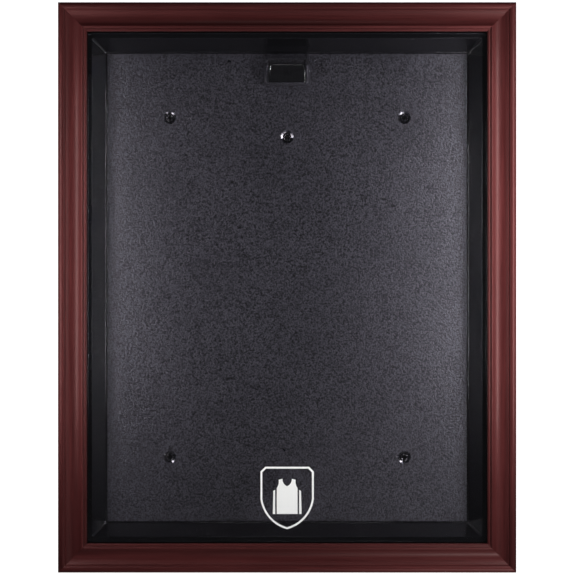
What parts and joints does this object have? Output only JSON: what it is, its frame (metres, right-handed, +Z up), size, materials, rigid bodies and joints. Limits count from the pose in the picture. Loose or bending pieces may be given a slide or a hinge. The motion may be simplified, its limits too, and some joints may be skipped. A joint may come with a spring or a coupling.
{
  "type": "jersey display case",
  "caption": "Wall-hung display case for a sports jersey: moulded black tray with a hanger hook behind a mitred wood-framed clear door that swings on butt hinges.",
  "frame": {"origin": "on the wall plane, at the centre of the rectangle of four wall-screw holes", "axes": "+Z up, -Y out of the wall towards the viewer, +X to the viewer's right"},
  "size_m": [0.8572, 0.0762, 1.0668],
  "materials": {
    "mahogany": "satin mahogany stain and lacquer",
    "black_moulding": "moulded black, fine leather grain on the panel",
    "smooth_black": "moulded black, smooth",
    "clear_acrylic": "clear polished acrylic",
    "white_print": "screen-printed white ink",
    "brass_plate": "brass-plated steel",
    "zinc_steel": "zinc-plated steel",
    "black_screw": "black phosphate",
    "pine": "bare planed softwood",
    "nickel_magnet": "nickel-plated magnet",
    "bumper_rubber": "soft self-adhesive bumper"
  },
  "bodies": {
    "case": {"backing_tray": "black_moulding", "hanger_tongue": "smooth_black", "tongue_screws": "zinc_steel", "hinge_batten": "pine", "batten_screws": "black_screw", "tray_leaf_screws": "brass_plate", "catch_magnets": "nickel_magnet", "door_bumpers": "bumper_rubber", "hinge_1_tray_leaf": "brass_plate", "hinge_1_pin": "brass_plate", "hinge_2_tray_leaf": "brass_plate", "hinge_2_pin": "brass_plate", "hinge_3_tray_leaf": "brass_plate", "hinge_3_pin": "brass_plate", "hinge_4_tray_leaf": "brass_plate", "hinge_4_pin": "brass_plate"},
    "door": {"top_rail": "mahogany", "right_stile": "mahogany", "bottom_rail": "mahogany", "left_stile": "mahogany", "corner_v_nails": "zinc_steel", "acrylic_panel": "clear_acrylic", "framer_points": "zinc_steel", "emblem_print": "white_print", "door_leaf_screws": "brass_plate", "strike_plates": "zinc_steel", "strike_screws": "zinc_steel", "hinge_1_door_leaf": "brass_plate", "hinge_2_door_leaf": "brass_plate", "hinge_3_door_leaf": "brass_plate", "hinge_4_door_leaf": "brass_plate"}
  },
  "joints": [
    {"name": "door_hinge", "type": "hinge", "parent": "case", "child": "door", "pos_m": [-0.4215, -0.05055, 0], "axis": [0, 0, -1], "range_deg": [0, 115]}
  ]
}
